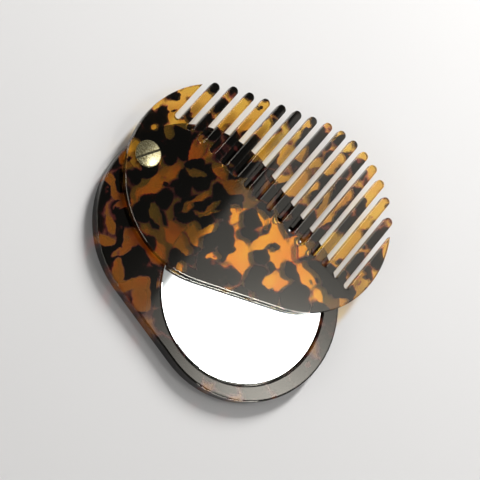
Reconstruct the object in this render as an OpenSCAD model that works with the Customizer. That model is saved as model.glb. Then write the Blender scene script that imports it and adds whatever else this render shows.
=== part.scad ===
/* [Plates] */
// Length of the mirror plate, the lower of the two plates
plate_length = 93.2; // [82:0.2:110]
// Width of the mirror plate, and the diameter of its round ends
plate_width = 65.2; // [64:0.2:76]
// Thickness of the mirror plate
mirror_plate_thick = 4.6; // [4:0.1:6]
// Length of the comb, the upper of the two plates
comb_length = 94.4; // [82:0.2:110]
// Width of the comb, and the diameter of its round ends
comb_width = 64; // [62:0.2:76]
// Thickness of the comb
comb_thick = 2.4; // [1.6:0.1:4]
// Width of the chamfer round the outer edge of both plates
edge_chamfer = 0.4; // [0.2:0.05:0.6]

/* [Pivot] */
// Distance from the near end of the mirror plate to the pivot
pivot_inset = 5.6; // [5.4:0.1:9]
// Distance from the near end of the comb to the pivot
comb_inset = 6.3; // [5.6:0.1:9]
// Distance from the comb's centre line to the pivot
comb_side = 1; // [-3:0.1:3]
// Angle between the two plates in the stored position
open_angle = 36.4; // [0:0.1:90]
// Diameter of the barrel that the comb turns on
barrel_dia = 5; // [4.2:0.1:6]
// Radial clearance of the barrel in both plates
barrel_clear = 0.05; // [0.03:0.01:0.1]
// Axial clearance above and below the comb
axial_play = 0.05; // [0.03:0.01:0.15]

/* [Screw] */
// Diameter of the screw's head and of the barrel's head
head_dia = 8.6; // [7.6:0.1:9.6]
// Height of the screw's head at its rim
head_thick = 0.8; // [0.6:0.05:1.4]
// How much the middle of the screw's head stands above its rim
head_crown = 0.15; // [0.05:0.05:0.3]
// Width of the bevel round the heads
head_bevel = 0.3; // [0.1:0.05:0.4]
// Width of the driver slot
driver_width = 0.8; // [0.4:0.1:1.2]
// Depth of the driver slot at the rim
driver_depth = 0.4; // [0.2:0.05:0.55]
// Direction of the driver slot in the stored position
driver_angle = 72; // [0:1:180]
// Diameter of the screw's shank
shank_dia = 3; // [2.5:0.1:3.4]
// Length of the screw's shank below its head
shank_length = 4.4; // [3:0.1:4.8]
// Gap between the end of the shank and the bottom of the barrel's bore
shank_gap = 0.3; // [0.1:0.1:0.6]
// Radial clearance of the shank in the barrel
shank_clear = 0.05; // [0.03:0.01:0.1]
// Thickness of the barrel's head
barrel_head_thick = 0.9; // [0.6:0.05:1.2]
// How far the barrel's head lies inside its recess
barrel_head_sink = 0.1; // [0.05:0.05:0.3]
// Radial clearance of the barrel's head in its recess
recess_clear = 0.2; // [0.1:0.05:0.4]

/* [Washer] */
// Diameter of the washer between the plates
washer_dia = 11; // [9:0.1:12]
// Thickness of the washer between the plates
washer_thick = 0.25; // [0.2:0.05:0.6]

/* [Mirror] */
// Diameter of the mirror
mirror_dia = 56; // [30:0.5:57]
// Thickness of the mirror
mirror_thick = 1.8; // [1:0.1:2.4]
// Distance from the far end of the plate to the mirror's rim
mirror_inset = 6; // [4:0.1:10]
// Distance from the plate's centre line to the middle of the mirror
mirror_side = -0.5; // [-1.5:0.1:1.5]
// Width of the ground seam round the mirror's rim
mirror_seam = 0.15; // [0.05:0.05:0.3]
// Radial gap between the mirror and its pocket
pocket_gap = 0.35; // [0.1:0.05:0.5]
// How far the mirror's face lies below the plate's face
mirror_sink = 0.2; // [0.1:0.05:0.3]
// Width of the rounded lip round the pocket
lip_width = 1.4; // [0.8:0.1:1.5]
// Drop of the rounded lip at the pocket's wall
lip_drop = 0.4; // [0.2:0.05:0.5]
// Diameter of the adhesive pad under the mirror
pad_dia = 50; // [25:0.5:54]
// Thickness of the adhesive pad
pad_thick = 0.3; // [0.1:0.05:0.4]

/* [Teeth] */
// Distance from one tooth to the next
tooth_pitch = 5.15; // [3.5:0.01:8]
// Width of the slots between the teeth
slot_width = 2.1; // [1.4:0.1:3]
// Angle between the row of teeth and the long axis of the comb
tooth_slant = 27.6; // [0:0.1:35]
// Least width of the solid horn at each end of the row
horn_width = 5.4; // [4:0.1:12]
// Shift of the row from the middle of the comb
row_shift = 0.9; // [-2:0.05:2]
// How far the roots of the slots lie below the middle of the comb
root_drop = 1.5; // [-4:0.1:5]
// Tilt of the line of roots
root_tilt = 1.2; // [-4:0.1:4]
// Chamfer along the edges of the teeth and slots
tooth_chamfer = 0.35; // [0.1:0.05:0.45]
// Length of the finished end of each tooth
tip_length = 4; // [3:0.5:6]

/* [Hidden] */
$fa = 2;
$fs = 0.15;
over = 1;
crown_steps = 6;

comb_radius = comb_width / 2;
comb_offset = comb_length / 2 - comb_radius;
pivot = [pivot_inset - plate_length / 2, 0];
comb_pivot = [comb_inset - comb_length / 2, comb_side];

comb_z = mirror_plate_thick + washer_thick + axial_play;
barrel_top = comb_z + comb_thick + axial_play;
barrel_bore_dia = shank_dia + 2 * shank_clear;
barrel_bore_depth = shank_length + shank_gap;
turning_hole_dia = barrel_dia + 2 * barrel_clear;
recess_dia = head_dia + 2 * recess_clear;
recess_depth = barrel_head_thick + barrel_head_sink;

mirror_centre = [plate_length / 2 - mirror_inset - mirror_dia / 2, mirror_side];
pocket_dia = mirror_dia + 2 * pocket_gap;
pocket_depth = mirror_sink + mirror_thick + pad_thick;
lip_radius = (lip_width * lip_width + lip_drop * lip_drop) / (2 * lip_drop);

tooth_width = tooth_pitch - slot_width;
tip_radius = tooth_width / 2;
row_reach = comb_offset * cos(tooth_slant) + comb_radius;
slot_count = floor((2 * row_reach - 2 * horn_width - slot_width) / tooth_pitch) + 1;
first_slot = row_shift - (slot_count - 1) * tooth_pitch / 2;
slot_x = [for (i = [0:slot_count - 1]) first_slot + i * tooth_pitch];
tooth_x = [for (i = [0:slot_count - 2]) first_slot + (i + 0.5) * tooth_pitch];

// Height of the comb's upper outline at x, on axes turned so that the teeth stand along Y.
// The outline is two arcs joined by a straight side that leans by the slant of the teeth.
function near_arc_end() = -comb_offset * cos(tooth_slant) - comb_radius * sin(tooth_slant);
function far_arc_start() = comb_offset * cos(tooth_slant) - comb_radius * sin(tooth_slant);
function arc_top(x, side) =
    side * comb_offset * sin(tooth_slant)
    + sqrt(max(0, pow(comb_radius, 2) - pow(x - side * comb_offset * cos(tooth_slant), 2)));
function side_top(x) = x * tan(tooth_slant) + comb_radius / cos(tooth_slant);
function outline_top(x) =
    x < near_arc_end() ? arc_top(x, -1) : x > far_arc_start() ? arc_top(x, 1) : side_top(x);

// Height of the middle of a slot's round root at x
function root_y(x) = x * tan(root_tilt) - root_drop + slot_width / 2;

// Half of the section of a flat piece with both edges chamfered, from its middle outwards
function chamfered_half(reach, thick, chamfer) =
    [[0, 0], [reach - chamfer, 0], [reach, chamfer], [reach, thick - chamfer],
     [reach - chamfer, thick], [0, thick]];

// Half of the section of a slot that opens out at both faces of a plate, and goes on past them
function flared_half(reach, thick, chamfer) =
    let (past = over / 2)
    [[0, -past], [reach + chamfer + past, -past], [reach, chamfer], [reach, thick - chamfer],
     [reach + chamfer + past, thick + past], [0, thick + past]];

// A straight bar along Y with the given half section on both sides
module bar(half, length) {
    translate([0, length, 0]) rotate([90, 0, 0]) linear_extrude(length)
        union() {
            polygon(half);
            mirror([1, 0]) polygon(half);
        }
}

// Half of a disc with the given half section, on the +Y side
module half_disc(half) {
    rotate_extrude(angle = 180) polygon(half);
}

// A plate with round ends and a chamfer on both edges, long axis along X
module plate_blank(length, width, thick) {
    section = chamfered_half(width / 2, thick, edge_chamfer);
    end = (length - width) / 2;
    translate([end, 0, 0]) rotate(-90) half_disc(section);
    translate([-end, 0, 0]) rotate(90) half_disc(section);
    translate([end, 0, 0]) rotate(90) bar(section, 2 * end);
}

// The rounded lip round the mirror's pocket, as the space that it takes from the plate
module lip_cut() {
    outer = pocket_dia / 2 + lip_width;
    rotate_extrude(angle = 360)
        difference() {
            translate([pocket_dia / 2 - over, -lip_drop]) square([lip_width + over, lip_drop + over]);
            translate([outer, -lip_radius]) circle(r = lip_radius);
        }
}

module mirror_plate() {
    color([0.36, 0.2, 0.07])
    difference() {
        plate_blank(plate_length, plate_width, mirror_plate_thick);
        translate([mirror_centre.x, mirror_centre.y, mirror_plate_thick - pocket_depth])
            cylinder(d = pocket_dia, h = pocket_depth + over);
        translate([mirror_centre.x, mirror_centre.y, mirror_plate_thick]) lip_cut();
        translate([pivot.x, pivot.y, -over])
            cylinder(d = turning_hole_dia, h = mirror_plate_thick + 2 * over);
        translate([pivot.x, pivot.y, -over])
            cylinder(d = recess_dia, h = recess_depth + over);
    }
}

module mirror_glass() {
    color([0.93, 0.95, 0.95])
    translate([mirror_centre.x, mirror_centre.y, mirror_plate_thick - mirror_sink - mirror_thick])
        rotate_extrude(angle = 360) polygon(chamfered_half(mirror_dia / 2, mirror_thick, mirror_seam));
}

module adhesive_pad() {
    color([0.85, 0.83, 0.78])
    translate([mirror_centre.x, mirror_centre.y, mirror_plate_thick - pocket_depth])
        cylinder(d = pad_dia, h = pad_thick);
}

// The barrel: a flat head in the recess below and a hollow post up through both plates
module barrel_nut() {
    post = barrel_dia / 2;
    bore = barrel_bore_dia / 2;
    head = head_dia / 2;
    head_top = barrel_head_sink + barrel_head_thick;
    color([0.8, 0.66, 0.36])
    translate([pivot.x, pivot.y, 0])
        rotate_extrude(angle = 360)
            polygon([[0, barrel_head_sink], [head - head_bevel, barrel_head_sink],
                     [head, barrel_head_sink + head_bevel], [head, head_top], [post, head_top],
                     [post, barrel_top], [bore, barrel_top], [bore, barrel_top - barrel_bore_depth],
                     [0, barrel_top - barrel_bore_depth]]);
}

module pivot_washer() {
    color([0.9, 0.88, 0.82])
    translate([pivot.x, pivot.y, mirror_plate_thick])
        difference() {
            cylinder(d = washer_dia, h = washer_thick);
            translate([0, 0, -over]) cylinder(d = turning_hole_dia, h = washer_thick + 2 * over);
        }
}

// The slotted screw: a low crowned head and a plain shank that seats in the barrel
module pivot_screw() {
    head = head_dia / 2;
    crown_edge = head - head_bevel;
    crown = [for (i = [0:crown_steps]) let (x = crown_edge * (1 - i / crown_steps))
             [x, head_thick + head_crown * (1 - pow(x / crown_edge, 2))]];
    color([0.86, 0.73, 0.42])
    translate([pivot.x, pivot.y, barrel_top])
        difference() {
            union() {
                rotate_extrude(angle = 360)
                    polygon(concat([[0, 0], [head, 0], [head, head_thick - head_bevel]], crown));
                translate([0, 0, -shank_length]) cylinder(d = shank_dia, h = shank_length + over / 2);
            }
            rotate(driver_angle)
                translate([-head - over, -driver_width / 2, head_thick - driver_depth])
                    cube([head_dia + 2 * over, driver_width, driver_depth + over]);
        }
}

// One slot between two teeth, from its round root out past the rim of the comb
module slot_cut(x) {
    section = flared_half(slot_width / 2, comb_thick, tooth_chamfer);
    translate([x, root_y(x), 0]) {
        bar(section, comb_length);
        rotate(180) half_disc(section);
    }
}

// The space beyond the middle of a tooth's round tip
module beyond_tip(x) {
    translate([x - tooth_pitch / 2, outline_top(x) - tip_radius, -over])
        cube([tooth_pitch, comb_length, comb_thick + 2 * over]);
}

// The finished end of a tooth, round in plan, which meets the outline of the comb
module tooth_tip(x) {
    section = chamfered_half(tip_radius, comb_thick, tooth_chamfer);
    translate([x, outline_top(x) - tip_radius, 0]) {
        half_disc(section);
        translate([0, -tip_length, 0]) bar(section, tip_length);
    }
}

module comb_plate() {
    color([0.42, 0.24, 0.08])
    translate([pivot.x, pivot.y, comb_z]) rotate(open_angle)
        difference() {
            translate([-comb_pivot.x, -comb_pivot.y, 0]) rotate(-tooth_slant) {
                difference() {
                    rotate(tooth_slant) plate_blank(comb_length, comb_width, comb_thick);
                    for (x = slot_x) slot_cut(x);
                    for (x = tooth_x) beyond_tip(x);
                }
                for (x = tooth_x) tooth_tip(x);
            }
            translate([0, 0, -over]) cylinder(d = turning_hole_dia, h = comb_thick + 2 * over);
        }
}

mirror_plate();
mirror_glass();
adhesive_pad();
barrel_nut();
pivot_washer();
pivot_screw();
comb_plate();
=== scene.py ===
import math

import bmesh
import bpy
from mathutils import Euler, Matrix, Vector


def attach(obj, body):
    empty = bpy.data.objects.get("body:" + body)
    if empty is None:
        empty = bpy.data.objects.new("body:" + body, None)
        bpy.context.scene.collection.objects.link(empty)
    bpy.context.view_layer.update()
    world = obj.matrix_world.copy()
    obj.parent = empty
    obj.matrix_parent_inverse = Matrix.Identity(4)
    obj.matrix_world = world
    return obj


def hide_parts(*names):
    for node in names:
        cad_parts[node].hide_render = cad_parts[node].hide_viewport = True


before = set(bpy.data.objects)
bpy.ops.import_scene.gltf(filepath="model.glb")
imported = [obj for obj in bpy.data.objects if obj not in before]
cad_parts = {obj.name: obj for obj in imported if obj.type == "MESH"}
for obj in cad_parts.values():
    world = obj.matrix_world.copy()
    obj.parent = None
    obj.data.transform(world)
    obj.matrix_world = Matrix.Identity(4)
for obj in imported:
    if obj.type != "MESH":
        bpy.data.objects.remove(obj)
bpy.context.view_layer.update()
print("frame loaded with", len(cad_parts), "nodes")

# All sizes below are in millimetres; pieces are scaled to metres once they are shaped
mm = 0.001
mergeGap = 1e-4        # points nearer than this become one
levelGap = 1e-5        # and an edge this near to a height lies at it

pivotSpot = Vector((-41.0, 0.0, 0.0))  # where the screw's axis meets the mirror plate's underside

# The camera at the photograph's angle, fitted to the teeth and the mirror's rim
cameraView = {
    "spot": (-78.46, -227.23, 487.71), "turns": (9.8537, -25.5706, 50.0691),
    "sensor": 36.0, "lens": 129.8, "shift": (-0.00104, 0.00104),
    "clip": (0.01, 20.0),  # in metres
    "heading": 72.0,       # the way it looks, seen from above, in degrees about Z
    "pixels": 480,         # width and height of the photograph
}


# Small helpers for meshes

def arcFrom(bm, start, centre, degrees, steps, axis=(0, 0, 1)):
    # A chain of edges swept from start about centre; returns its two end vertices
    first = bm.verts.new(start)
    swept = bmesh.ops.spin(bm, geom=[first], cent=centre, axis=axis, dvec=(0, 0, 0),
                           angle=math.radians(degrees), steps=steps, use_merge=False,
                           use_normal_flip=False, use_duplicate=False)
    last = [g for g in swept["geom_last"] if isinstance(g, bmesh.types.BMVert)][0]
    return first, last


def chain(bm, points):
    # Straight edges through points; returns the two end vertices
    verts = [bm.verts.new(p) for p in points]
    for a, b in zip(verts, verts[1:]):
        bm.edges.new((a, b))
    return verts[0], verts[-1]


def closeLoop(bm, runs):
    # Joins the end of each run to the start of the next one, then fills the ring with a face
    for run, nextRun in zip(runs, runs[1:] + runs[:1]):
        if (run[1].co - nextRun[0].co).length > mergeGap:
            bm.edges.new((run[1], nextRun[0]))
    bmesh.ops.remove_doubles(bm, verts=bm.verts[:], dist=mergeGap)
    bmesh.ops.contextual_create(bm, geom=bm.edges[:])


def thicken(bm, height):
    pulled = bmesh.ops.extrude_face_region(bm, geom=bm.faces[:])
    lifted = [g for g in pulled["geom"] if isinstance(g, bmesh.types.BMVert)]
    bmesh.ops.translate(bm, verts=lifted, vec=(0, 0, height))
    bmesh.ops.recalc_face_normals(bm, faces=bm.faces[:])


def roundRim(bm, height, radius, steps):
    # Rounds every edge that lies at this height
    rim = [e for e in bm.edges if all(abs(v.co.z - height) < levelGap for v in e.verts)]
    bmesh.ops.bevel(bm, geom=rim, offset=radius, offset_type="OFFSET", segments=steps,
                    profile=0.5, affect="EDGES", clamp_overlap=False, material=-1)


def lathe(bm, steps):
    # Turns what is drawn in the XZ plane about Z
    bmesh.ops.spin(bm, geom=bm.verts[:] + bm.edges[:], cent=(0, 0, 0), axis=(0, 0, 1),
                   dvec=(0, 0, 0), angle=math.tau, steps=steps, use_merge=True,
                   use_normal_flip=False, use_duplicate=False)
    bmesh.ops.remove_doubles(bm, verts=bm.verts[:], dist=mergeGap)
    bmesh.ops.recalc_face_normals(bm, faces=bm.faces[:])


def asPiece(bm, name):
    bmesh.ops.scale(bm, verts=bm.verts[:], vec=(mm, mm, mm))
    mesh = bpy.data.meshes.new(name)
    bm.to_mesh(mesh)
    bm.free()
    piece = bpy.data.objects.new(name, mesh)
    bpy.context.scene.collection.objects.link(piece)
    return piece


def cutAway(piece, cutter):
    # Takes the cutter's space out of the piece for good
    cut = piece.modifiers.new("cut", "BOOLEAN")
    cut.object = cutter
    cut.solver = "EXACT"
    bpy.context.view_layer.update()
    shaped = piece.evaluated_get(bpy.context.evaluated_depsgraph_get())
    mesh = bpy.data.meshes.new_from_object(shaped)
    piece.modifiers.clear()
    piece.data = mesh
    bpy.data.objects.remove(cutter)


def drillHole(piece, across, low, high):
    # A round hole about the pivot's axis, between two heights
    drill = bmesh.new()
    bmesh.ops.create_cone(drill, cap_ends=True, segments=96, radius1=across / 2,
                          radius2=across / 2, depth=high - low)
    middle = pivotSpot + Vector((0, 0, (high + low) / 2))
    bmesh.ops.translate(drill, verts=drill.verts[:], vec=middle)
    cutAway(piece, asPiece(drill, "drill"))


def smoothFaces(piece, sharpAngle):
    for face in piece.data.polygons:
        face.use_smooth = True
    piece.data.set_sharp_from_angle(angle=math.radians(sharpAngle))
    even = piece.modifiers.new("even normals", "WEIGHTED_NORMAL")
    even.keep_sharp = True
    even.weight = 80


def place(piece, body, node, material):
    piece.data.materials.clear()
    piece.data.materials.append(material)
    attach(piece, body)
    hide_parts(node)


# Small helpers for nodes

def addNode(tree, kind, inputs=None, **settings):
    # A colour may be given as three numbers
    node = tree.nodes.new(kind)
    for key, value in settings.items():
        setattr(node, key, value)
    for key, value in (inputs or {}).items():
        socket = node.inputs[key]
        if isinstance(value, bpy.types.NodeSocket):
            tree.links.new(value, socket)
        elif socket.type == "RGBA":
            socket.default_value = (*value, 1.0)
        else:
            socket.default_value = value
    return node


def mathNode(tree, operation, a, b=0.0, clamp=False):
    return addNode(tree, "ShaderNodeMath", {0: a, 1: b}, operation=operation,
                   use_clamp=clamp).outputs[0]


def vectorNode(tree, operation, a, b=(0.0, 0.0, 0.0), output="Vector"):
    return addNode(tree, "ShaderNodeVectorMath", {0: a, 1: b},
                   operation=operation).outputs[output]


def spread(tree, value, old, new=(0.0, 1.0), kind="LINEAR"):
    # Carries the value from the old range to the new one
    return addNode(tree, "ShaderNodeMapRange",
                   {"Value": value, "From Min": old[0], "From Max": old[1], "To Min": new[0],
                    "To Max": new[1]}, interpolation_type=kind).outputs["Result"]


def mixColour(tree, factor, first, second, blend="MIX"):
    return addNode(tree, "ShaderNodeMix", {"Factor": factor, 6: first, 7: second},
                   data_type="RGBA", blend_type=blend).outputs[2]


def noiseNode(tree, spot, scale, detail, roughness=0.5):
    return addNode(tree, "ShaderNodeTexNoise",
                   {"Vector": spot, "Scale": scale, "Detail": detail, "Roughness": roughness})


def cellNode(tree, spot, scale):
    return addNode(tree, "ShaderNodeTexVoronoi",
                   {"Vector": spot, "Scale": scale, "Randomness": 1.0}, feature="F1")


def rampNode(tree, factor, stops):
    ramp = addNode(tree, "ShaderNodeValToRGB", {"Fac": factor})
    elements = ramp.color_ramp.elements
    while len(elements) < len(stops):
        elements.new(0.5)
    for element, (position, colour) in zip(elements, stops):
        element.position = position
        element.color = (*colour, 1.0)
    return ramp.outputs["Color"]


def newGroup(name, inputs, outputs):
    group = bpy.data.node_groups.new(name, "ShaderNodeTree")
    for socketName, kind in inputs:
        group.interface.new_socket(socketName, in_out="INPUT", socket_type=kind)
    for socketName, kind in outputs:
        group.interface.new_socket(socketName, in_out="OUTPUT", socket_type=kind)
    return group, group.nodes.new("NodeGroupInput"), group.nodes.new("NodeGroupOutput")


def newMaterial(name):
    material = bpy.data.materials.new(name)
    material.use_nodes = True
    tree = material.node_tree
    shader = tree.nodes["Principled BSDF"]
    coords = addNode(tree, "ShaderNodeTexCoord").outputs["Object"]
    return material, tree, shader, coords


# Tortoiseshell acetate

shellFigure = {
    "warp": 2.0, "warpScale": 120.0,    # how far, in millimetres, the figure is pulled about
    "jag": 0.9, "jagScale": 420.0,      # and the small unevenness of its edges
    "darkEdge": 0.78,      # amber shows past this distance from a blob's middle in a dark place
    "amberEdge": 0.06,     # and past this distance in an amber place
    "crisp": 0.17, "faded": 0.34,       # widths of the edges between dark and amber
    "fadeScale": 90.0, "fadeRange": (0.48, 0.68),  # most edges are crisp and some fade out
    "depthFade": 0.55,     # how much wider they get towards the sheet's underside
    "speckScale": 300.0, "speckEdge": (0.20, 0.34),  # small specks all through the sheet
    "darkSpecks": 0.10,    # share of them that is dark in the amber
    "redSpecks": 0.08,     # and that is wine red in the black
    "redStrength": 0.6,
    "tintScale": 80.0, "tintRange": (0.35, 0.65),
    "tints": ((1.0, 0.80, 0.84), (1.0, 1.0, 0.9)),
    "wineRed": (0.42, 0.09, 0.08),
    "amberRange": (0.55, 0.95),         # where the edge's colours give way to the amber
    # Black turns wine red and dusty pink at a crisp edge, and plain brown where it fades
    "crispStops": [(0.0, (0.0032, 0.0027, 0.0022)), (0.18, (0.06, 0.010, 0.012)),
                   (0.36, (0.46, 0.11, 0.13)), (0.7, (0.80, 0.32, 0.17))],
    "fadedStops": [(0.0, (0.0032, 0.0027, 0.0022)), (0.35, (0.04, 0.020, 0.006)),
                   (0.65, (0.30, 0.15, 0.025)), (0.9, (0.72, 0.42, 0.09))],
    "squash": 0.2,         # the figure is drawn out through the sheet's thickness
    "chipBlend": 0.4,      # how softly neighbouring chips run together
    "chipEdge": (0.65, 1.3),            # a chip's mask fades between these shares of its radius
}

# The big chips are marked on the photograph. A mark is x and y of both ends and a width,
# all in pixels, and the marks are grouped by where they are seen. Amber shows only where it
# goes right through the sheet, so a chip is longer than it looks by its sheet's reach, the way
# the camera looks. A dark one is shorter by half as much
amberShare, darkShare = 1.0, -0.5
narrowest = 1.2        # least width of a chip, in millimetres

acetate = {
    "bend": 1.49, "tint": (1.0, 0.95, 0.84), "bump": 0.1, "bumpDepth": 0.0001,
    "skin": 0.5,           # the edges' fading is full this far inside a sheet's faces
}


def onSheet(spot, height):
    # Where the camera's ray through a pixel of the photograph meets a level plane
    pixels = cameraView["pixels"]
    focal = cameraView["lens"] / cameraView["sensor"] * pixels
    across = spot[0] - (0.5 - cameraView["shift"][0]) * pixels
    down = spot[1] - (0.5 + cameraView["shift"][1]) * pixels
    turn = Euler([math.radians(a) for a in cameraView["turns"]]).to_matrix()
    ray = turn @ Vector((across / focal, -down / focal, -1.0))
    start = Vector(cameraView["spot"])
    return (start + ray * ((height - start.z) / ray.z)).xy


def layChip(mark, height, extra):
    # The oval on a sheet's upper face: x, y, length and width, and its angle in degrees
    startX, startY, endX, endY, breadth = mark
    start, end = Vector((startX, startY)), Vector((endX, endY))
    middle = (start + end) / 2
    side = (end - start).orthogonal().normalized() * breadth / 2
    along = onSheet(end, height) - onSheet(start, height)
    across = onSheet(middle + side, height) - onSheet(middle - side, height)
    angle = math.atan2(along.y, along.x)
    looks = math.radians(cameraView["heading"])
    centre = (onSheet(start, height) + onSheet(end, height)) / 2
    centre += Vector((math.cos(looks), math.sin(looks))) * extra / 2
    length = along.length + extra * abs(math.cos(angle - looks))
    width = max(narrowest, across.length + extra * abs(math.sin(angle - looks)))
    # Rounded, because the marks are no finer
    sizes = [round(value, 1) for value in (centre.x, centre.y, length, width)]
    return (*sizes, round(math.degrees(angle)) % 180)


def layChips(marks, recipe, share):
    chips = []
    for area, rows in marks.items():
        reach = recipe["mirrorReach"] if area == "overMirror" else recipe["reach"]
        chips += [layChip(row, recipe["sheet"][1], reach * share) for row in rows]
    return chips


def buildWarpGroup():
    group, start, end = newGroup("shell flow", [("Vector", "NodeSocketVector")],
                                 [("Vector", "NodeSocketVector")])
    spot = start.outputs["Vector"]
    for scale, reach, detail in ((shellFigure["warpScale"], shellFigure["warp"], 1.0),
                                 (shellFigure["jagScale"], shellFigure["jag"], 2.0)):
        pull = noiseNode(group, start.outputs["Vector"], scale, detail).outputs["Color"]
        pull = vectorNode(group, "SUBTRACT", pull, (0.5, 0.5, 0.5))
        pull = vectorNode(group, "MULTIPLY", pull, (reach * 2 * mm,) * 3)
        spot = vectorNode(group, "ADD", spot, pull)
    group.links.new(spot, end.inputs["Vector"])
    return group


def buildShellGroup():
    # Chips shrinks the dark blobs where it is 1, so the amber between them opens up.
    # Soft is 0 where the edges are crisp and 1 where they fade out in the sheet's depth
    group, start, end = newGroup(
        "shell figure",
        [("Vector", "NodeSocketVector"), ("Chips", "NodeSocketFloat"),
         ("Soft", "NodeSocketFloat"), ("Blobs", "NodeSocketFloat"),
         ("Amber", "NodeSocketColor")],
        [("Color", "NodeSocketColor")])
    look = shellFigure
    spot, soft = start.outputs["Vector"], start.outputs["Soft"]
    blobs = cellNode(group, spot, start.outputs["Blobs"]).outputs["Distance"]
    edge = spread(group, start.outputs["Chips"], (0.0, 1.0),
                  (look["darkEdge"], look["amberEdge"]))
    depth = mathNode(group, "SUBTRACT", blobs, edge)
    fade = noiseNode(group, spot, look["fadeScale"], 0.0).outputs["Fac"]
    width = spread(group, fade, look["fadeRange"], (look["crisp"], look["faded"]))
    width = mathNode(group, "ADD", width, mathNode(group, "MULTIPLY", soft, look["depthFade"]))
    half = mathNode(group, "MULTIPLY", width, 0.5)
    amber = spread(group, depth, (mathNode(group, "MULTIPLY", half, -1.0), half),
                   kind="SMOOTHSTEP")

    specks = cellNode(group, spot, look["speckScale"])
    away = spread(group, specks.outputs["Distance"], look["speckEdge"])
    chance = addNode(group, "ShaderNodeSeparateColor", {"Color": specks.outputs["Color"]})
    notDark = mathNode(group, "GREATER_THAN", chance.outputs[0], look["darkSpecks"])
    amber = mathNode(group, "MULTIPLY", amber, mathNode(group, "MAXIMUM", away, notDark))
    red = mathNode(group, "MULTIPLY", mathNode(group, "SUBTRACT", 1.0, away),
                   mathNode(group, "GREATER_THAN", chance.outputs[1], 1 - look["redSpecks"]))
    red = mathNode(group, "MULTIPLY", red, look["redStrength"])

    colour = mixColour(group, soft, rampNode(group, amber, look["crispStops"]),
                       rampNode(group, amber, look["fadedStops"]))
    colour = mixColour(group, red, colour, look["wineRed"])
    colour = mixColour(group, spread(group, amber, look["amberRange"]), colour,
                       start.outputs["Amber"])
    tint = noiseNode(group, spot, look["tintScale"], 2.0).outputs["Fac"]
    tint = mixColour(group, spread(group, tint, look["tintRange"]), *look["tints"])
    colour = mixColour(group, 1.0, colour, tint, "MULTIPLY")
    group.links.new(colour, end.inputs["Color"])
    return group


handPolish = {
    "waveScale": 70.0, "lineTurn": (0, 0, 0.6), "lineScale": (60.0, 2600.0, 60.0),
    "lineHeight": 0.02, "waveRange": (0.3, 0.7), "rough": (0.03, 0.06),
}


def buildPolishGroup():
    # The faint waves and hairlines of a hand-polished sheet
    group, start, end = newGroup(
        "hand polish", [("Vector", "NodeSocketVector")],
        [("Height", "NodeSocketFloat"), ("Roughness", "NodeSocketFloat")])
    spot = start.outputs["Vector"]
    waves = noiseNode(group, spot, handPolish["waveScale"], 2.0).outputs["Fac"]
    drawn = addNode(group, "ShaderNodeMapping",
                    {"Vector": spot, "Rotation": handPolish["lineTurn"],
                     "Scale": handPolish["lineScale"]}).outputs[0]
    lines = noiseNode(group, drawn, 1.0, 2.0).outputs["Fac"]
    lines = mathNode(group, "MULTIPLY", lines, handPolish["lineHeight"])
    group.links.new(mathNode(group, "ADD", waves, lines), end.inputs["Height"])
    group.links.new(spread(group, waves, handPolish["waveRange"], handPolish["rough"]),
                    end.inputs["Roughness"])
    return group


warpGroup = buildWarpGroup()
shellGroup = buildShellGroup()
polishGroup = buildPolishGroup()


def chipMask(tree, spot, chips):
    # 1 well inside a chip, 0 well outside all of them
    nearest = None
    for x, y, length, width, angle in chips:
        turn = math.radians(angle)
        along = (math.cos(turn) * 2 / (length * mm), math.sin(turn) * 2 / (length * mm), 0)
        across = (-math.sin(turn) * 2 / (width * mm), math.cos(turn) * 2 / (width * mm), 0)
        local = vectorNode(tree, "SUBTRACT", spot, (x * mm, y * mm, 0))
        far = vectorNode(tree, "DOT_PRODUCT", local, along, "Value")
        wide = vectorNode(tree, "DOT_PRODUCT", local, across, "Value")
        far = mathNode(tree, "MULTIPLY", far, far)
        far = addNode(tree, "ShaderNodeMath", {0: wide, 1: wide, 2: far},
                      operation="MULTIPLY_ADD").outputs[0]
        if nearest is None:
            nearest = far
        else:
            nearest = addNode(tree, "ShaderNodeMath",
                              {0: nearest, 1: far, 2: shellFigure["chipBlend"]},
                              operation="SMOOTH_MIN").outputs[0]
    return spread(tree, mathNode(tree, "SQRT", nearest), shellFigure["chipEdge"], (1.0, 0.0))


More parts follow.
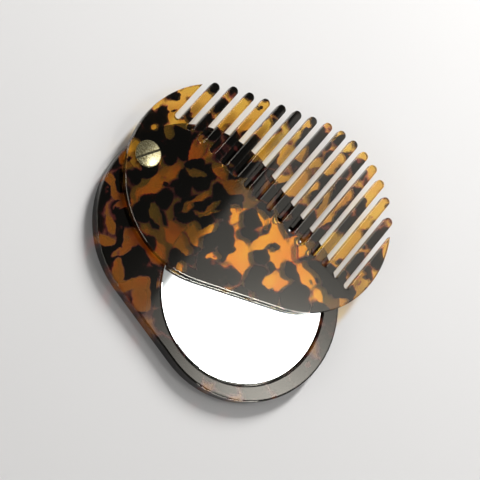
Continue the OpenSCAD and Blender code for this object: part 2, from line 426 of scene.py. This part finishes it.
def acetateMaterial(name, recipe):
    material, tree, shader, coords = newMaterial(name)
    drawn = addNode(tree, "ShaderNodeMapping",
                    {"Vector": coords, "Scale": (1.0, 1.0, shellFigure["squash"])}).outputs[0]
    flow = addNode(tree, "ShaderNodeGroup", node_tree=warpGroup)
    tree.links.new(drawn, flow.inputs["Vector"])
    flow = flow.outputs["Vector"]
    amber = chipMask(tree, flow, layChips(recipe["amberMarks"], recipe, amberShare))
    dark = chipMask(tree, flow, layChips(recipe["darkMarks"], recipe, darkShare))
    chips = mathNode(tree, "MAXIMUM", amber, recipe["amount"])
    chips = mathNode(tree, "SUBTRACT", chips, dark, clamp=True)
    height = addNode(tree, "ShaderNodeSeparateXYZ", {"Vector": coords}).outputs["Z"]
    low, high = recipe["sheet"]
    inside = ((low + acetate["skin"]) * mm, (high - acetate["skin"]) * mm)
    shifted = addNode(tree, "ShaderNodeMapping", {"Vector": flow, "Location": recipe["shift"]})
    figure = addNode(tree, "ShaderNodeGroup", node_tree=shellGroup)
    figure.inputs["Blobs"].default_value = recipe["blobs"]
    figure.inputs["Amber"].default_value = (*recipe["amber"], 1.0)
    tree.links.new(shifted.outputs[0], figure.inputs["Vector"])
    tree.links.new(chips, figure.inputs["Chips"])
    tree.links.new(spread(tree, height, inside, recipe["soft"]), figure.inputs["Soft"])

    polish = addNode(tree, "ShaderNodeGroup", node_tree=polishGroup)
    tree.links.new(coords, polish.inputs["Vector"])
    bump = addNode(tree, "ShaderNodeBump",
                   {"Height": polish.outputs["Height"], "Strength": acetate["bump"],
                    "Distance": acetate["bumpDepth"]})
    tree.links.new(figure.outputs["Color"], shader.inputs["Base Color"])
    tree.links.new(polish.outputs["Roughness"], shader.inputs["Roughness"])
    tree.links.new(bump.outputs["Normal"], shader.inputs["Normal"])
    # What doesn't pass through is haze in the sheet
    shader.inputs["Transmission Weight"].default_value = recipe["clear"]
    shader.inputs["IOR"].default_value = acetate["bend"]
    shader.inputs["Specular Tint"].default_value = (*acetate["tint"], 1.0)
    # Lamps shine through the sheet and leave its colours on what lies below. Light crosses
    # two faces, so a shade of 0.5 at each takes the sheet's colour once
    clear = addNode(tree, "ShaderNodeGamma",
                    {"Color": figure.outputs["Color"], "Gamma": recipe["shade"]}).outputs[0]
    clear = addNode(tree, "ShaderNodeBsdfTransparent", {"Color": clear})
    path = addNode(tree, "ShaderNodeLightPath")
    lets = mathNode(tree, "MAXIMUM", path.outputs["Is Shadow Ray"], path.outputs["Is Diffuse Ray"])
    mixed = addNode(tree, "ShaderNodeMixShader",
                    {0: lets, 1: shader.outputs["BSDF"], 2: clear.outputs["BSDF"]})
    tree.links.new(mixed.outputs[0], tree.nodes["Material Output"].inputs["Surface"])
    return material


print("tortoiseshell mixed")


# The comb

combSize = {
    "length": 94.4, "width": 64.0, "thick": 2.4, "bottom": 4.9,
    "pivotInset": 6.3, "pivotSide": 1.0, "openAngle": 36.4, "hole": 5.1,
    "pitch": 5.15, "slotWidth": 2.1, "slots": 16, "slant": 27.6,
    "rowShift": 0.9, "rootDrop": 1.5, "rootTilt": 1.2, "hornPoint": 6.0,
    "chamfer": 0.29, "soften": 0.07, "rootSteps": 14, "tipSteps": 14,
    "endStep": 3.9,        # degrees of the end arcs to an edge
    "drill": (-10.0, 10.0),             # heights between which the hole is drilled
    "sharpAngle": 40,
}
# Marks on the photograph, in pixels
combAmber = {
    "nearHorn": [(169, 110, 187, 90, 15), (187, 92, 201, 84, 8), (170, 112, 190, 125, 12),
                 (165, 126, 171, 136, 7), (151, 121, 157, 130, 5), (151, 107, 160, 102, 4)],
    "tooth1": [(190, 114, 214, 88, 12)],
    "tooth2": [(208, 112, 214, 106, 7)],
    "tooth3": [(219, 124, 247, 100, 12)],
    "tooth4": [(242, 128, 269, 100, 13)],
    "tooth5": [(260, 133, 269, 123, 9)],
    "tooth6": [(255, 160, 279, 136, 15)],
    "tooth7": [(295, 139, 314, 118, 7), (278, 161, 291, 145, 10)],
    "tooth8": [(298, 161, 304, 147, 8), (275, 181, 288, 175, 9)],
    "tooth9": [(332, 141, 341, 132, 5), (308, 168, 321, 159, 7), (288, 197, 308, 171, 12)],
    "tooth10": [(343, 151, 353, 142, 6), (326, 174, 341, 157, 12), (308, 194, 319, 182, 9)],
    "tooth11": [(320, 211, 329, 194, 5)],
    "tooth12": [(366, 172, 374, 165, 8), (335, 207, 353, 192, 9), (322, 224, 338, 207, 8)],
    "tooth13": [(366, 198, 383, 181, 13), (322, 248, 337, 236, 8)],
    "tooth14": [(360, 228, 390, 199, 13), (340, 254, 362, 231, 13)],
    "tooth15": [(355, 254, 367, 249, 4)],
    "farHorn": [(384, 260, 390, 239, 4), (361, 270, 367, 284, 6), (356, 298, 368, 283, 10),
                (326, 304, 346, 300, 8)],
    "overMirror": [(247, 240, 239, 268, 17), (229, 256, 242, 256, 8), (270, 219, 284, 248, 14),
                   (252, 249, 273, 235, 11), (256, 211, 265, 228, 5), (271, 248, 280, 270, 10),
                   (262, 280, 292, 284, 12), (276, 268, 276, 293, 12), (299, 268, 317, 289, 14),
                   (313, 286, 324, 302, 8), (235, 206, 229, 222, 10), (200, 234, 215, 227, 10),
                   (191, 224, 195, 245, 10), (173, 240, 190, 249, 12), (204, 256, 217, 256, 7),
                   (177, 264, 183, 271, 7), (301, 257, 308, 243, 9), (226, 190, 243, 182, 15),
                   (199, 217, 220, 211, 4)],
    "overPlate": [(134, 136, 129, 168, 10), (134, 196, 180, 168, 18), (189, 156, 205, 137, 13),
                  (213, 166, 229, 177, 13), (188, 170, 208, 176, 7), (183, 213, 206, 192, 8),
                  (206, 211, 219, 204, 7), (150, 205, 160, 224, 9), (157, 222, 174, 246, 7)],
}
combDark = {
    "nearHorn": [(172, 99, 183, 92, 5), (172, 110, 178, 107, 4)],
    "teeth": [(213, 91, 218, 83, 7), (248, 98, 254, 92, 8), (259, 111, 264, 109, 3),
              (302, 135, 311, 127, 6), (313, 124, 317, 117, 5), (379, 170, 373, 173, 4)],
    "overMirror": [(232, 250, 239, 248, 5), (274, 243, 281, 250, 5)],
    "overPlate": [(143, 200, 151, 206, 10), (196, 205, 207, 208, 12)],
    "tooth13": [(366, 199, 345, 226, 10)],
}
# sheet gives the heights of its two faces, and soft how far the edges fade there. amount is
# how much amber shows where no chip is marked, and shift picks a part of the endless figure
combRecipe = {
    "amberMarks": combAmber, "darkMarks": combDark,
    "reach": 0.8, "mirrorReach": 1.6,   # twice as far over the mirror, which shows the sheet again
    "amount": 0.16, "blobs": 190.0, "shift": (0.0, 0.0, 0.0), "amber": (0.88, 0.565, 0.095),
    "clear": 0.96, "soft": (1.0, 0.0), "shade": 0.3,
    "sheet": (combSize["bottom"], combSize["bottom"] + combSize["thick"]),
}


def combOutlineTop(c, x):
    # Height of the comb's outline at x, with the teeth standing along Y
    radius = c["width"] / 2
    reach = c["length"] / 2 - radius
    cosine, sine = math.cos(math.radians(c["slant"])), math.sin(math.radians(c["slant"]))
    for side in (-1, 1):
        middle = side * reach * cosine
        if side * (x - middle + radius * sine) > 0:
            return side * reach * sine + math.sqrt(max(0.0, radius ** 2 - (x - middle) ** 2))
    return x * sine / cosine + radius / cosine


def combRuns(bm, c):
    # The comb's outline, in pieces that follow each other round it
    radius = c["width"] / 2
    reach = c["length"] / 2 - radius
    slant = math.radians(c["slant"])
    half = c["slotWidth"] / 2
    tipRadius = (c["pitch"] - c["slotWidth"]) / 2
    firstSlot = c["rowShift"] - (c["slots"] - 1) * c["pitch"] / 2
    nearCorner = Vector((firstSlot - half, combOutlineTop(c, firstSlot - half), 0))
    runs = []
    for i in range(c["slots"]):
        x = firstSlot + i * c["pitch"]
        rootY = x * math.tan(math.radians(c["rootTilt"])) - c["rootDrop"] + half
        if i == 0:
            runs.append(chain(bm, [nearCorner, (x - half, rootY + c["hornPoint"], 0)]))
        runs.append(arcFrom(bm, (x - half, rootY, 0), (x, rootY, 0), 180, c["rootSteps"]))
        if i < c["slots"] - 1:
            tipX = x + c["pitch"] / 2
            tipY = combOutlineTop(c, tipX) - tipRadius
            runs.append(arcFrom(bm, (tipX - tipRadius, tipY, 0), (tipX, tipY, 0), -180,
                                c["tipSteps"]))
    lastX = firstSlot + (c["slots"] - 1) * c["pitch"] + half
    farCorner = Vector((lastX, combOutlineTop(c, lastX), 0))
    farEnd = Vector((reach * math.cos(slant), reach * math.sin(slant), 0))
    nearEnd = -farEnd
    below = Vector((math.sin(slant), -math.cos(slant), 0)) * radius
    sweep = abs(math.degrees((farCorner - farEnd).xy.angle_signed(below.xy)))
    runs.append(arcFrom(bm, farCorner, farEnd, -sweep, round(sweep / c["endStep"])))
    sweep = math.degrees(below.xy.angle_signed((nearCorner - nearEnd).xy)) % 360
    runs.append(arcFrom(bm, nearEnd + below, nearEnd, -sweep, round(sweep / c["endStep"])))
    return runs


def buildComb(c):
    bm = bmesh.new()
    closeLoop(bm, combRuns(bm, c))
    thicken(bm, c["thick"])
    for face, inward in ((0, 1), (c["thick"], -1)):
        roundRim(bm, face, c["chamfer"], 1)
        roundRim(bm, face + inward * c["chamfer"], c["soften"], 2)
        roundRim(bm, face, c["soften"], 2)
    bmesh.ops.triangulate(bm, faces=[f for f in bm.faces if len(f.verts) > 4])
    # From the row of teeth to the open position on the pivot
    combPivot = Vector((c["pivotInset"] - c["length"] / 2, c["pivotSide"], 0))
    turn = Matrix.Rotation(-math.radians(c["slant"]), 3, "Z")
    bmesh.ops.rotate(bm, verts=bm.verts[:], cent=(0, 0, 0), matrix=turn)
    bmesh.ops.translate(bm, verts=bm.verts[:], vec=-combPivot)
    turn = Matrix.Rotation(math.radians(c["openAngle"]), 3, "Z")
    bmesh.ops.rotate(bm, verts=bm.verts[:], cent=(0, 0, 0), matrix=turn)
    bmesh.ops.translate(bm, verts=bm.verts[:], vec=pivotSpot + Vector((0, 0, c["bottom"])))
    piece = asPiece(bm, "combPlate")
    drillHole(piece, c["hole"], *c["drill"])
    smoothFaces(piece, c["sharpAngle"])
    return piece


combPlate = buildComb(combSize)
place(combPlate, "comb", "comb_plate",
      acetateMaterial("comb tortoiseshell", combRecipe))
print("comb cut:", len(combPlate.data.polygons), "faces")


# The mirror plate

plateSize = {
    "length": 93.2, "width": 65.2, "thick": 4.6, "topRound": 0.7, "bottomRound": 0.5,
    "roundSteps": 5, "endSteps": 72, "hole": 5.1, "recess": 9.0, "recessDepth": 1.03,
    "mirrorSpot": (12.6, -0.5), "pocket": 56.7, "pocketFloor": 2.27, "pocketSteps": 192,
    "lipWidth": 0.45, "lipDrop": 0.2, "lipSteps": 8,
    "clear": 2.0,          # how far the pocket's cutter stands above the plate
    "drill": (-5.0, 12.0),              # heights between which the holes are drilled
    "sharpAngle": 40,
}
# Marks on the photograph, in pixels
plateAmber = {
    "besideComb": [(100, 177, 114, 183, 6), (112, 184, 119, 197, 9), (116, 197, 130, 196, 7),
                   (116, 209, 131, 199, 10), (105, 219, 113, 231, 7), (96, 238, 109, 243, 7),
                   (134, 228, 124, 254, 16), (126, 253, 110, 257, 9), (136, 238, 163, 265, 12),
                   (118, 260, 118, 278, 9), (118, 284, 153, 284, 12), (137, 286, 146, 312, 17),
                   (117, 150, 125, 162, 10)],
    "underComb": [(134, 200, 180, 170, 22), (128, 140, 132, 170, 14), (186, 160, 206, 140, 16),
                  (160, 226, 190, 246, 22), (210, 175, 232, 180, 14), (190, 215, 212, 198, 16)],
}
plateDark = {
    "besideComb": [(143, 250, 126, 277, 19), (104, 258, 113, 277, 9), (99, 184, 104, 232, 13),
                   (101, 168, 122, 148, 13), (122, 291, 132, 301, 8), (154, 268, 153, 312, 8),
                   (134, 317, 158, 313, 9), (122, 170, 122, 193, 9), (120, 212, 122, 246, 12)],
    "underComb": [(130, 172, 150, 184, 16)],
}
plateRecipe = {
    "amberMarks": plateAmber, "darkMarks": plateDark, "reach": 1.5,
    "amount": 0.14, "blobs": 140.0, "shift": (0.3, 0.1, 0.0), "amber": (0.74, 0.27, 0.035),
    "clear": 0.80, "soft": (1.0, 0.5), "shade": 3.0, "sheet": (0.0, plateSize["thick"]),
}


def buildPocketCutter(p):
    # The pocket and its rounded lip, turned as one cutter
    top, wall = p["thick"], p["pocket"] / 2
    outer, roofHeight = wall + p["lipWidth"], top + p["clear"]
    bend = (p["lipWidth"] ** 2 + p["lipDrop"] ** 2) / (2 * p["lipDrop"])
    swing = math.degrees(math.asin(p["lipWidth"] / bend))
    pocket = bmesh.new()
    lip = arcFrom(pocket, (outer, 0, top), (outer, 0, top - bend), -swing, p["lipSteps"],
                  axis=(0, 1, 0))
    floor = chain(pocket, [(0, 0, p["pocketFloor"]), (wall, 0, p["pocketFloor"])])
    roof = chain(pocket, [(outer, 0, roofHeight), (0, 0, roofHeight)])
    pocket.edges.new((floor[1], lip[1]))
    pocket.edges.new((lip[0], roof[0]))
    lathe(pocket, p["pocketSteps"])
    bmesh.ops.translate(pocket, verts=pocket.verts[:], vec=(*p["mirrorSpot"], 0))
    return asPiece(pocket, "pocketCutter")


def buildMirrorPlate(p):
    bm = bmesh.new()
    radius = p["width"] / 2
    reach = p["length"] / 2 - radius
    runs = [arcFrom(bm, (reach, -radius, 0), (reach, 0, 0), 180, p["endSteps"]),
            arcFrom(bm, (-reach, radius, 0), (-reach, 0, 0), 180, p["endSteps"])]
    closeLoop(bm, runs)
    thicken(bm, p["thick"])
    roundRim(bm, 0, p["bottomRound"], p["roundSteps"])
    roundRim(bm, p["thick"], p["topRound"], p["roundSteps"])
    piece = asPiece(bm, "mirrorPlate")
    cutAway(piece, buildPocketCutter(p))
    drillHole(piece, p["hole"], *p["drill"])
    drillHole(piece, p["recess"], p["drill"][0], p["recessDepth"])
    smoothFaces(piece, p["sharpAngle"])
    return piece


mirrorPlate = buildMirrorPlate(plateSize)
place(mirrorPlate, "mirror_case", "mirror_plate",
      acetateMaterial("plate tortoiseshell", plateRecipe))
print("mirror plate cut:", len(mirrorPlate.data.polygons), "faces")


# The screw

screwSize = {
    "head": 8.6, "thick": 0.61, "crown": 0.34, "rim": 0.3, "rimSteps": 2, "crownSteps": 10,
    "slotWidth": 0.8, "slotDepth": 0.4, "slotAngle": 72, "shank": 3.0, "shankLength": 4.4,
    "footCut": 0.12, "tipCut": 0.2, "clear": 2.0, "seat": 7.35, "steps": 128,
    "sharpAngle": 35,
}


def buildScrew(s):
    bm = bmesh.new()
    head, shank = s["head"] / 2, s["shank"] / 2
    flat = head - s["rim"]
    # The crown is a very flat arc, and the rim a rounded corner
    bend = (flat ** 2 + s["crown"] ** 2) / (2 * s["crown"])
    swing = math.degrees(math.asin(flat / bend))
    top = s["thick"] + s["crown"]
    arcFrom(bm, (0, 0, top), (0, 0, top - bend), swing, s["crownSteps"], axis=(0, 1, 0))
    rim = arcFrom(bm, (flat, 0, s["thick"]), (flat, 0, s["thick"] - s["rim"]), 90,
                  s["rimSteps"], axis=(0, 1, 0))
    under = chain(bm, [(head, 0, s["footCut"]), (head - s["footCut"], 0, 0), (shank, 0, 0),
                       (shank, 0, s["tipCut"] - s["shankLength"]),
                       (shank - s["tipCut"], 0, -s["shankLength"]),
                       (0, 0, -s["shankLength"])])
    bm.edges.new((rim[1], under[0]))
    bmesh.ops.remove_doubles(bm, verts=bm.verts[:], dist=mergeGap)
    lathe(bm, s["steps"])
    piece = asPiece(bm, "pivotScrew")

    slot = bmesh.new()
    bmesh.ops.create_cube(slot, size=1)
    bmesh.ops.scale(slot, verts=slot.verts[:],
                    vec=(s["head"] + s["clear"], s["slotWidth"], s["clear"]))
    bmesh.ops.translate(slot, verts=slot.verts[:],
                        vec=(0, 0, s["thick"] - s["slotDepth"] + s["clear"] / 2))
    bmesh.ops.rotate(slot, verts=slot.verts[:], cent=(0, 0, 0),
                     matrix=Matrix.Rotation(math.radians(s["slotAngle"]), 3, "Z"))
    cutAway(piece, asPiece(slot, "slotCutter"))
    piece.data.transform(Matrix.Translation((pivotSpot + Vector((0, 0, s["seat"]))) * mm))
    smoothFaces(piece, s["sharpAngle"])
    return piece


turnedMetal = {
    "ringScale": 4200.0, "ringHeight": 0.5, "knockScale": 2600.0,
    "knockRange": (0.3, 0.7), "rough": (0.18, 0.32), "tintRange": (0.36, 0.62),
    "bump": 0.9, "bumpDepth": 0.00002,
}


def buildTurnedGroup():
    # Concentric tool marks about the screw's axis, and small knocks
    group, start, end = newGroup(
        "turned metal", [("Vector", "NodeSocketVector")],
        [("Height", "NodeSocketFloat"), ("Roughness", "NodeSocketFloat"),
         ("Tint", "NodeSocketFloat")])
    spot = start.outputs["Vector"]
    split = addNode(group, "ShaderNodeSeparateXYZ", {"Vector": spot})
    flat = addNode(group, "ShaderNodeCombineXYZ",
                   {"X": split.outputs["X"], "Y": split.outputs["Y"]}).outputs[0]
    far = vectorNode(group, "LENGTH", flat, output="Value")
    far = mathNode(group, "MULTIPLY", far, turnedMetal["ringScale"])
    rings = addNode(group, "ShaderNodeCombineXYZ", {"X": far}).outputs[0]
    rings = noiseNode(group, rings, 1.0, 3.0, 0.7).outputs["Fac"]
    rings = mathNode(group, "MULTIPLY", rings, turnedMetal["ringHeight"])
    knocks = noiseNode(group, spot, turnedMetal["knockScale"], 3.0, 0.65).outputs["Fac"]
    rough = spread(group, knocks, turnedMetal["knockRange"], turnedMetal["rough"])
    group.links.new(mathNode(group, "ADD", rings, knocks), end.inputs["Height"])
    group.links.new(rough, end.inputs["Roughness"])
    group.links.new(knocks, end.inputs["Tint"])
    return group


turnedGroup = buildTurnedGroup()


def brassMaterial(name, recipe):
    material, tree, shader, coords = newMaterial(name)
    centred = addNode(tree, "ShaderNodeMapping",
                      {"Vector": coords, "Location": tuple(-pivotSpot * mm)}).outputs[0]
    turned = addNode(tree, "ShaderNodeGroup", node_tree=turnedGroup)
    tree.links.new(centred, turned.inputs["Vector"])
    darkest, lightest = turnedMetal["tintRange"]
    colour = rampNode(tree, turned.outputs["Tint"],
                      [(darkest, recipe["dark"]), (lightest, recipe["light"])])
    # Painted shade: the colour darkens low down, between the given heights, such as round the
    # screw head's foot and in its slot
    height = addNode(tree, "ShaderNodeSeparateXYZ", {"Vector": coords}).outputs["Z"]
    unshaded = spread(tree, height, [level * mm for level in recipe["shadeHeights"]])
    colour = mixColour(tree, unshaded, recipe["paintedShade"], colour)
    bump = addNode(tree, "ShaderNodeBump",
                   {"Height": turned.outputs["Height"], "Strength": turnedMetal["bump"],
                    "Distance": turnedMetal["bumpDepth"]})
    tree.links.new(colour, shader.inputs["Base Color"])
    tree.links.new(turned.outputs["Roughness"], shader.inputs["Roughness"])
    tree.links.new(bump.outputs["Normal"], shader.inputs["Normal"])
    shader.inputs["Metallic"].default_value = 1.0
    return material


# The last entry gives the heights between which the painted shade clears
screwBrass = brassMaterial("screw brass", {
    "dark": (0.66, 0.56, 0.26), "light": (0.90, 0.82, 0.52), "paintedShade": (0.05, 0.045, 0.03),
    "shadeHeights": (7.54, 7.80)})
giltBrass = brassMaterial("gilt brass", {
    "dark": (0.72, 0.58, 0.28), "light": (0.86, 0.74, 0.44), "paintedShade": (0.60, 0.48, 0.22),
    "shadeHeights": (0.1, 0.4)})
pivotScrew = buildScrew(screwSize)
place(pivotScrew, "mirror_case", "pivot_screw", screwBrass)
print("screw turned")


# Mirror, barrel, washer and pad

mirrorSize = {
    "across": 56.0, "low": 2.6, "high": 4.4, "seam": 0.45, "steps": 192, "sharpAngle": 30,
}
mirrorSilver = {
    "hazeScale": 160.0, "hazeRange": (0.3, 0.7), "rough": (0.01, 0.025),
    "dim": (0.90, 0.93, 0.92), "bright": (0.93, 0.95, 0.94),
}
softPlastic = {"grainScale": 700.0, "grainRange": (0.35, 0.65), "bump": 0.3, "bumpDepth": 0.00005}
padFoam = {"dark": (0.72, 0.70, 0.64), "light": (0.84, 0.82, 0.76), "rough": 0.8}
washerNylon = {"dark": (0.80, 0.77, 0.69), "light": (0.88, 0.85, 0.78), "rough": 0.45}


def mirrorMaterial():
    material, tree, shader, coords = newMaterial("mirror silver")
    haze = noiseNode(tree, coords, mirrorSilver["hazeScale"], 3.0).outputs["Fac"]
    low, high = mirrorSilver["hazeRange"]
    colour = rampNode(tree, haze, [(low, mirrorSilver["dim"]), (high, mirrorSilver["bright"])])
    rough = spread(tree, haze, (low, high), mirrorSilver["rough"])
    tree.links.new(colour, shader.inputs["Base Color"])
    tree.links.new(rough, shader.inputs["Roughness"])
    shader.inputs["Metallic"].default_value = 1.0
    return material


def softPlasticMaterial(name, recipe):
    material, tree, shader, coords = newMaterial(name)
    mottle = noiseNode(tree, coords, softPlastic["grainScale"], 4.0).outputs["Fac"]
    low, high = softPlastic["grainRange"]
    colour = rampNode(tree, mottle, [(low, recipe["dark"]), (high, recipe["light"])])
    bump = addNode(tree, "ShaderNodeBump",
                   {"Height": mottle, "Strength": softPlastic["bump"],
                    "Distance": softPlastic["bumpDepth"]})
    tree.links.new(colour, shader.inputs["Base Color"])
    tree.links.new(bump.outputs["Normal"], shader.inputs["Normal"])
    shader.inputs["Roughness"].default_value = recipe["rough"]
    return material


def dress(node, material):
    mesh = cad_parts[node].data
    mesh.materials.clear()
    mesh.materials.append(material)


def buildMirror(m):
    bm = bmesh.new()
    radius, seam = m["across"] / 2, m["seam"]
    chain(bm, [(0, 0, m["low"]), (radius - seam, 0, m["low"]), (radius, 0, m["low"] + seam),
               (radius, 0, m["high"] - seam), (radius - seam, 0, m["high"]), (0, 0, m["high"])])
    lathe(bm, m["steps"])
    bmesh.ops.translate(bm, verts=bm.verts[:], vec=(*plateSize["mirrorSpot"], 0))
    piece = asPiece(bm, "mirrorGlass")
    smoothFaces(piece, m["sharpAngle"])
    return piece


mirrorGlass = buildMirror(mirrorSize)
place(mirrorGlass, "mirror_case", "mirror_glass", mirrorMaterial())
dress("adhesive_pad", softPlasticMaterial("adhesive foam", padFoam))
dress("pivot_washer", softPlasticMaterial("washer nylon", washerNylon))
dress("barrel_nut", giltBrass)
print("mirror, pad, washer and barrel finished")


# Floor, lights and camera

studio = {
    "floorColour": (0.72, 0.71, 0.70), "floorShade": 0.985, "floorReach": 3000,
    "floorDrop": 0.1,      # keeps the floor clear of the plate's underside
    "floorGrain": 8.0, "floorRange": (0.3, 0.7), "floorRough": 0.6, "floorGloss": 0.3,
    "worldColour": (1.0, 0.995, 0.985),
    "worldHeights": (0.15, 0.7), "worldLevels": (0.45, 0.10),  # the world darkens upwards
    "worldSeen": 0.85,     # its level where the camera sees it
    "cards": [
        # name, place and size in mm, radiance, turn about Z, or None to face the object,
        # and the kinds of surface that don't see it
        ("overCard", (379, 553, 640), (700, 670), 1.08, 12.5, ()),
        ("slotStrip", (-333, 1090, 640), (150, 1000), 72.0, 8.8, ("glossy", "transmission")),
        ("frontLow", (-364, -780, 400), (1000, 180), 3.2, None, ()),
        ("cornerLow", (800, -470, 200), (800, 270), 25.0, None, ("diffuse", "transmission")),
        ("leftLow", (-900, 230, 240), (700, 160), 5.0, None, ("diffuse", "transmission")),
    ],
    "softEdge": 0.008,     # share of the overhead card over which its left edge fades
    # Round lamps behind the card, bright in the middle and fading out: place, reach, radiance
    "glows": [((215, 255, 638), 70, 9.5), ((230, 400, 637), 110, 0.3)],
    "glowSpan": 6.0,       # width of a glow's square, in reaches
}


def buildFloor():
    bm = bmesh.new()
    bmesh.ops.create_grid(bm, x_segments=1, y_segments=1, size=studio["floorReach"])
    bmesh.ops.translate(bm, verts=bm.verts[:], vec=(0, 0, -studio["floorDrop"]))
    floor = asPiece(bm, "floor")
    material, tree, shader, coords = newMaterial("pale floor")
    grain = noiseNode(tree, coords, studio["floorGrain"], 2.0).outputs["Fac"]
    pale = studio["floorColour"]
    shaded = tuple(part * studio["floorShade"] for part in pale)
    low, high = studio["floorRange"]
    tree.links.new(rampNode(tree, grain, [(low, shaded), (high, pale)]),
                   shader.inputs["Base Color"])
    shader.inputs["Roughness"].default_value = studio["floorRough"]
    shader.inputs["Specular IOR Level"].default_value = studio["floorGloss"]
    floor.data.materials.append(material)


def addCard(name, spot, size, radiance, turn, hidden):
    light = bpy.data.lights.new(name, "AREA")
    light.shape = "RECTANGLE"
    light.size, light.size_y = size[0] * mm, size[1] * mm
    light.energy = math.pi * light.size * light.size_y * radiance
    card = bpy.data.objects.new(name, light)
    card.location = Vector(spot) * mm
    if turn is None:
        card.rotation_euler = Vector(spot).to_track_quat("Z", "Y").to_euler()
    else:
        card.rotation_euler = (0, 0, math.radians(turn))
    for kind in ("camera", *hidden):
        setattr(card, "visible_" + kind, False)
    bpy.context.scene.collection.objects.link(card)
    return card


def cardTree(card):
    # The card's nodes, and the place on it, which runs from 0 to 1 both ways
    card.data.use_nodes = True
    tree = card.data.node_tree
    return tree, addNode(tree, "ShaderNodeNewGeometry").outputs["Parametric"]


def fadeEdge(card, share):
    # Dims the card towards its left edge, so its reflection has no hard border there
    tree, where = cardTree(card)
    across = addNode(tree, "ShaderNodeSeparateXYZ", {"Vector": where}).outputs["X"]
    level = spread(tree, across, (0.0, share), kind="SMOOTHSTEP")
    tree.links.new(level, tree.nodes["Emission"].inputs["Strength"])


def addGlow(spot, reach, radiance):
    # exp(-(r / reach)^2), with r counted from the middle of the card
    span = studio["glowSpan"]
    size = (reach * span, reach * span)
    tree, where = cardTree(addCard("glow", spot, size, radiance, 0, ("transmission",)))
    away = vectorNode(tree, "SUBTRACT", where, (0.5, 0.5, 0.0))
    away = vectorNode(tree, "MULTIPLY", away, (span, span, 0.0))
    square = vectorNode(tree, "DOT_PRODUCT", away, away, "Value")
    level = mathNode(tree, "POWER", math.e, mathNode(tree, "MULTIPLY", square, -1.0))
    tree.links.new(level, tree.nodes["Emission"].inputs["Strength"])


def buildWorld():
    world = bpy.data.worlds.new("studio")
    bpy.context.scene.world = world
    world.use_nodes = True
    tree = world.node_tree
    back = tree.nodes["Background"]
    direction = addNode(tree, "ShaderNodeTexCoord").outputs["Generated"]
    height = addNode(tree, "ShaderNodeSeparateXYZ", {"Vector": direction}).outputs["Z"]
    level = spread(tree, height, studio["worldHeights"], studio["worldLevels"])
    seen = addNode(tree, "ShaderNodeLightPath").outputs["Is Camera Ray"]
    level = addNode(tree, "ShaderNodeMix", {"Factor": seen, 2: level, 3: studio["worldSeen"]})
    tree.links.new(level.outputs[0], back.inputs["Strength"])
    back.inputs["Color"].default_value = (*studio["worldColour"], 1.0)


def addCamera(view):
    camera = bpy.data.cameras.new("camera")
    camera.sensor_width, camera.lens = view["sensor"], view["lens"]
    camera.shift_x, camera.shift_y = view["shift"]
    camera.clip_start, camera.clip_end = view["clip"]
    cameraPiece = bpy.data.objects.new("camera", camera)
    cameraPiece.location = Vector(view["spot"]) * mm
    cameraPiece.rotation_euler = Euler([math.radians(a) for a in view["turns"]])
    bpy.context.scene.collection.objects.link(cameraPiece)
    bpy.context.scene.camera = cameraPiece


buildFloor()
buildWorld()
cards = {card[0]: addCard(*card) for card in studio["cards"]}
fadeEdge(cards["overCard"], studio["softEdge"])
for glow in studio["glows"]:
    addGlow(*glow)
addCamera(cameraView)
bpy.context.scene.view_settings.view_transform = "Standard"
print("studio lit")
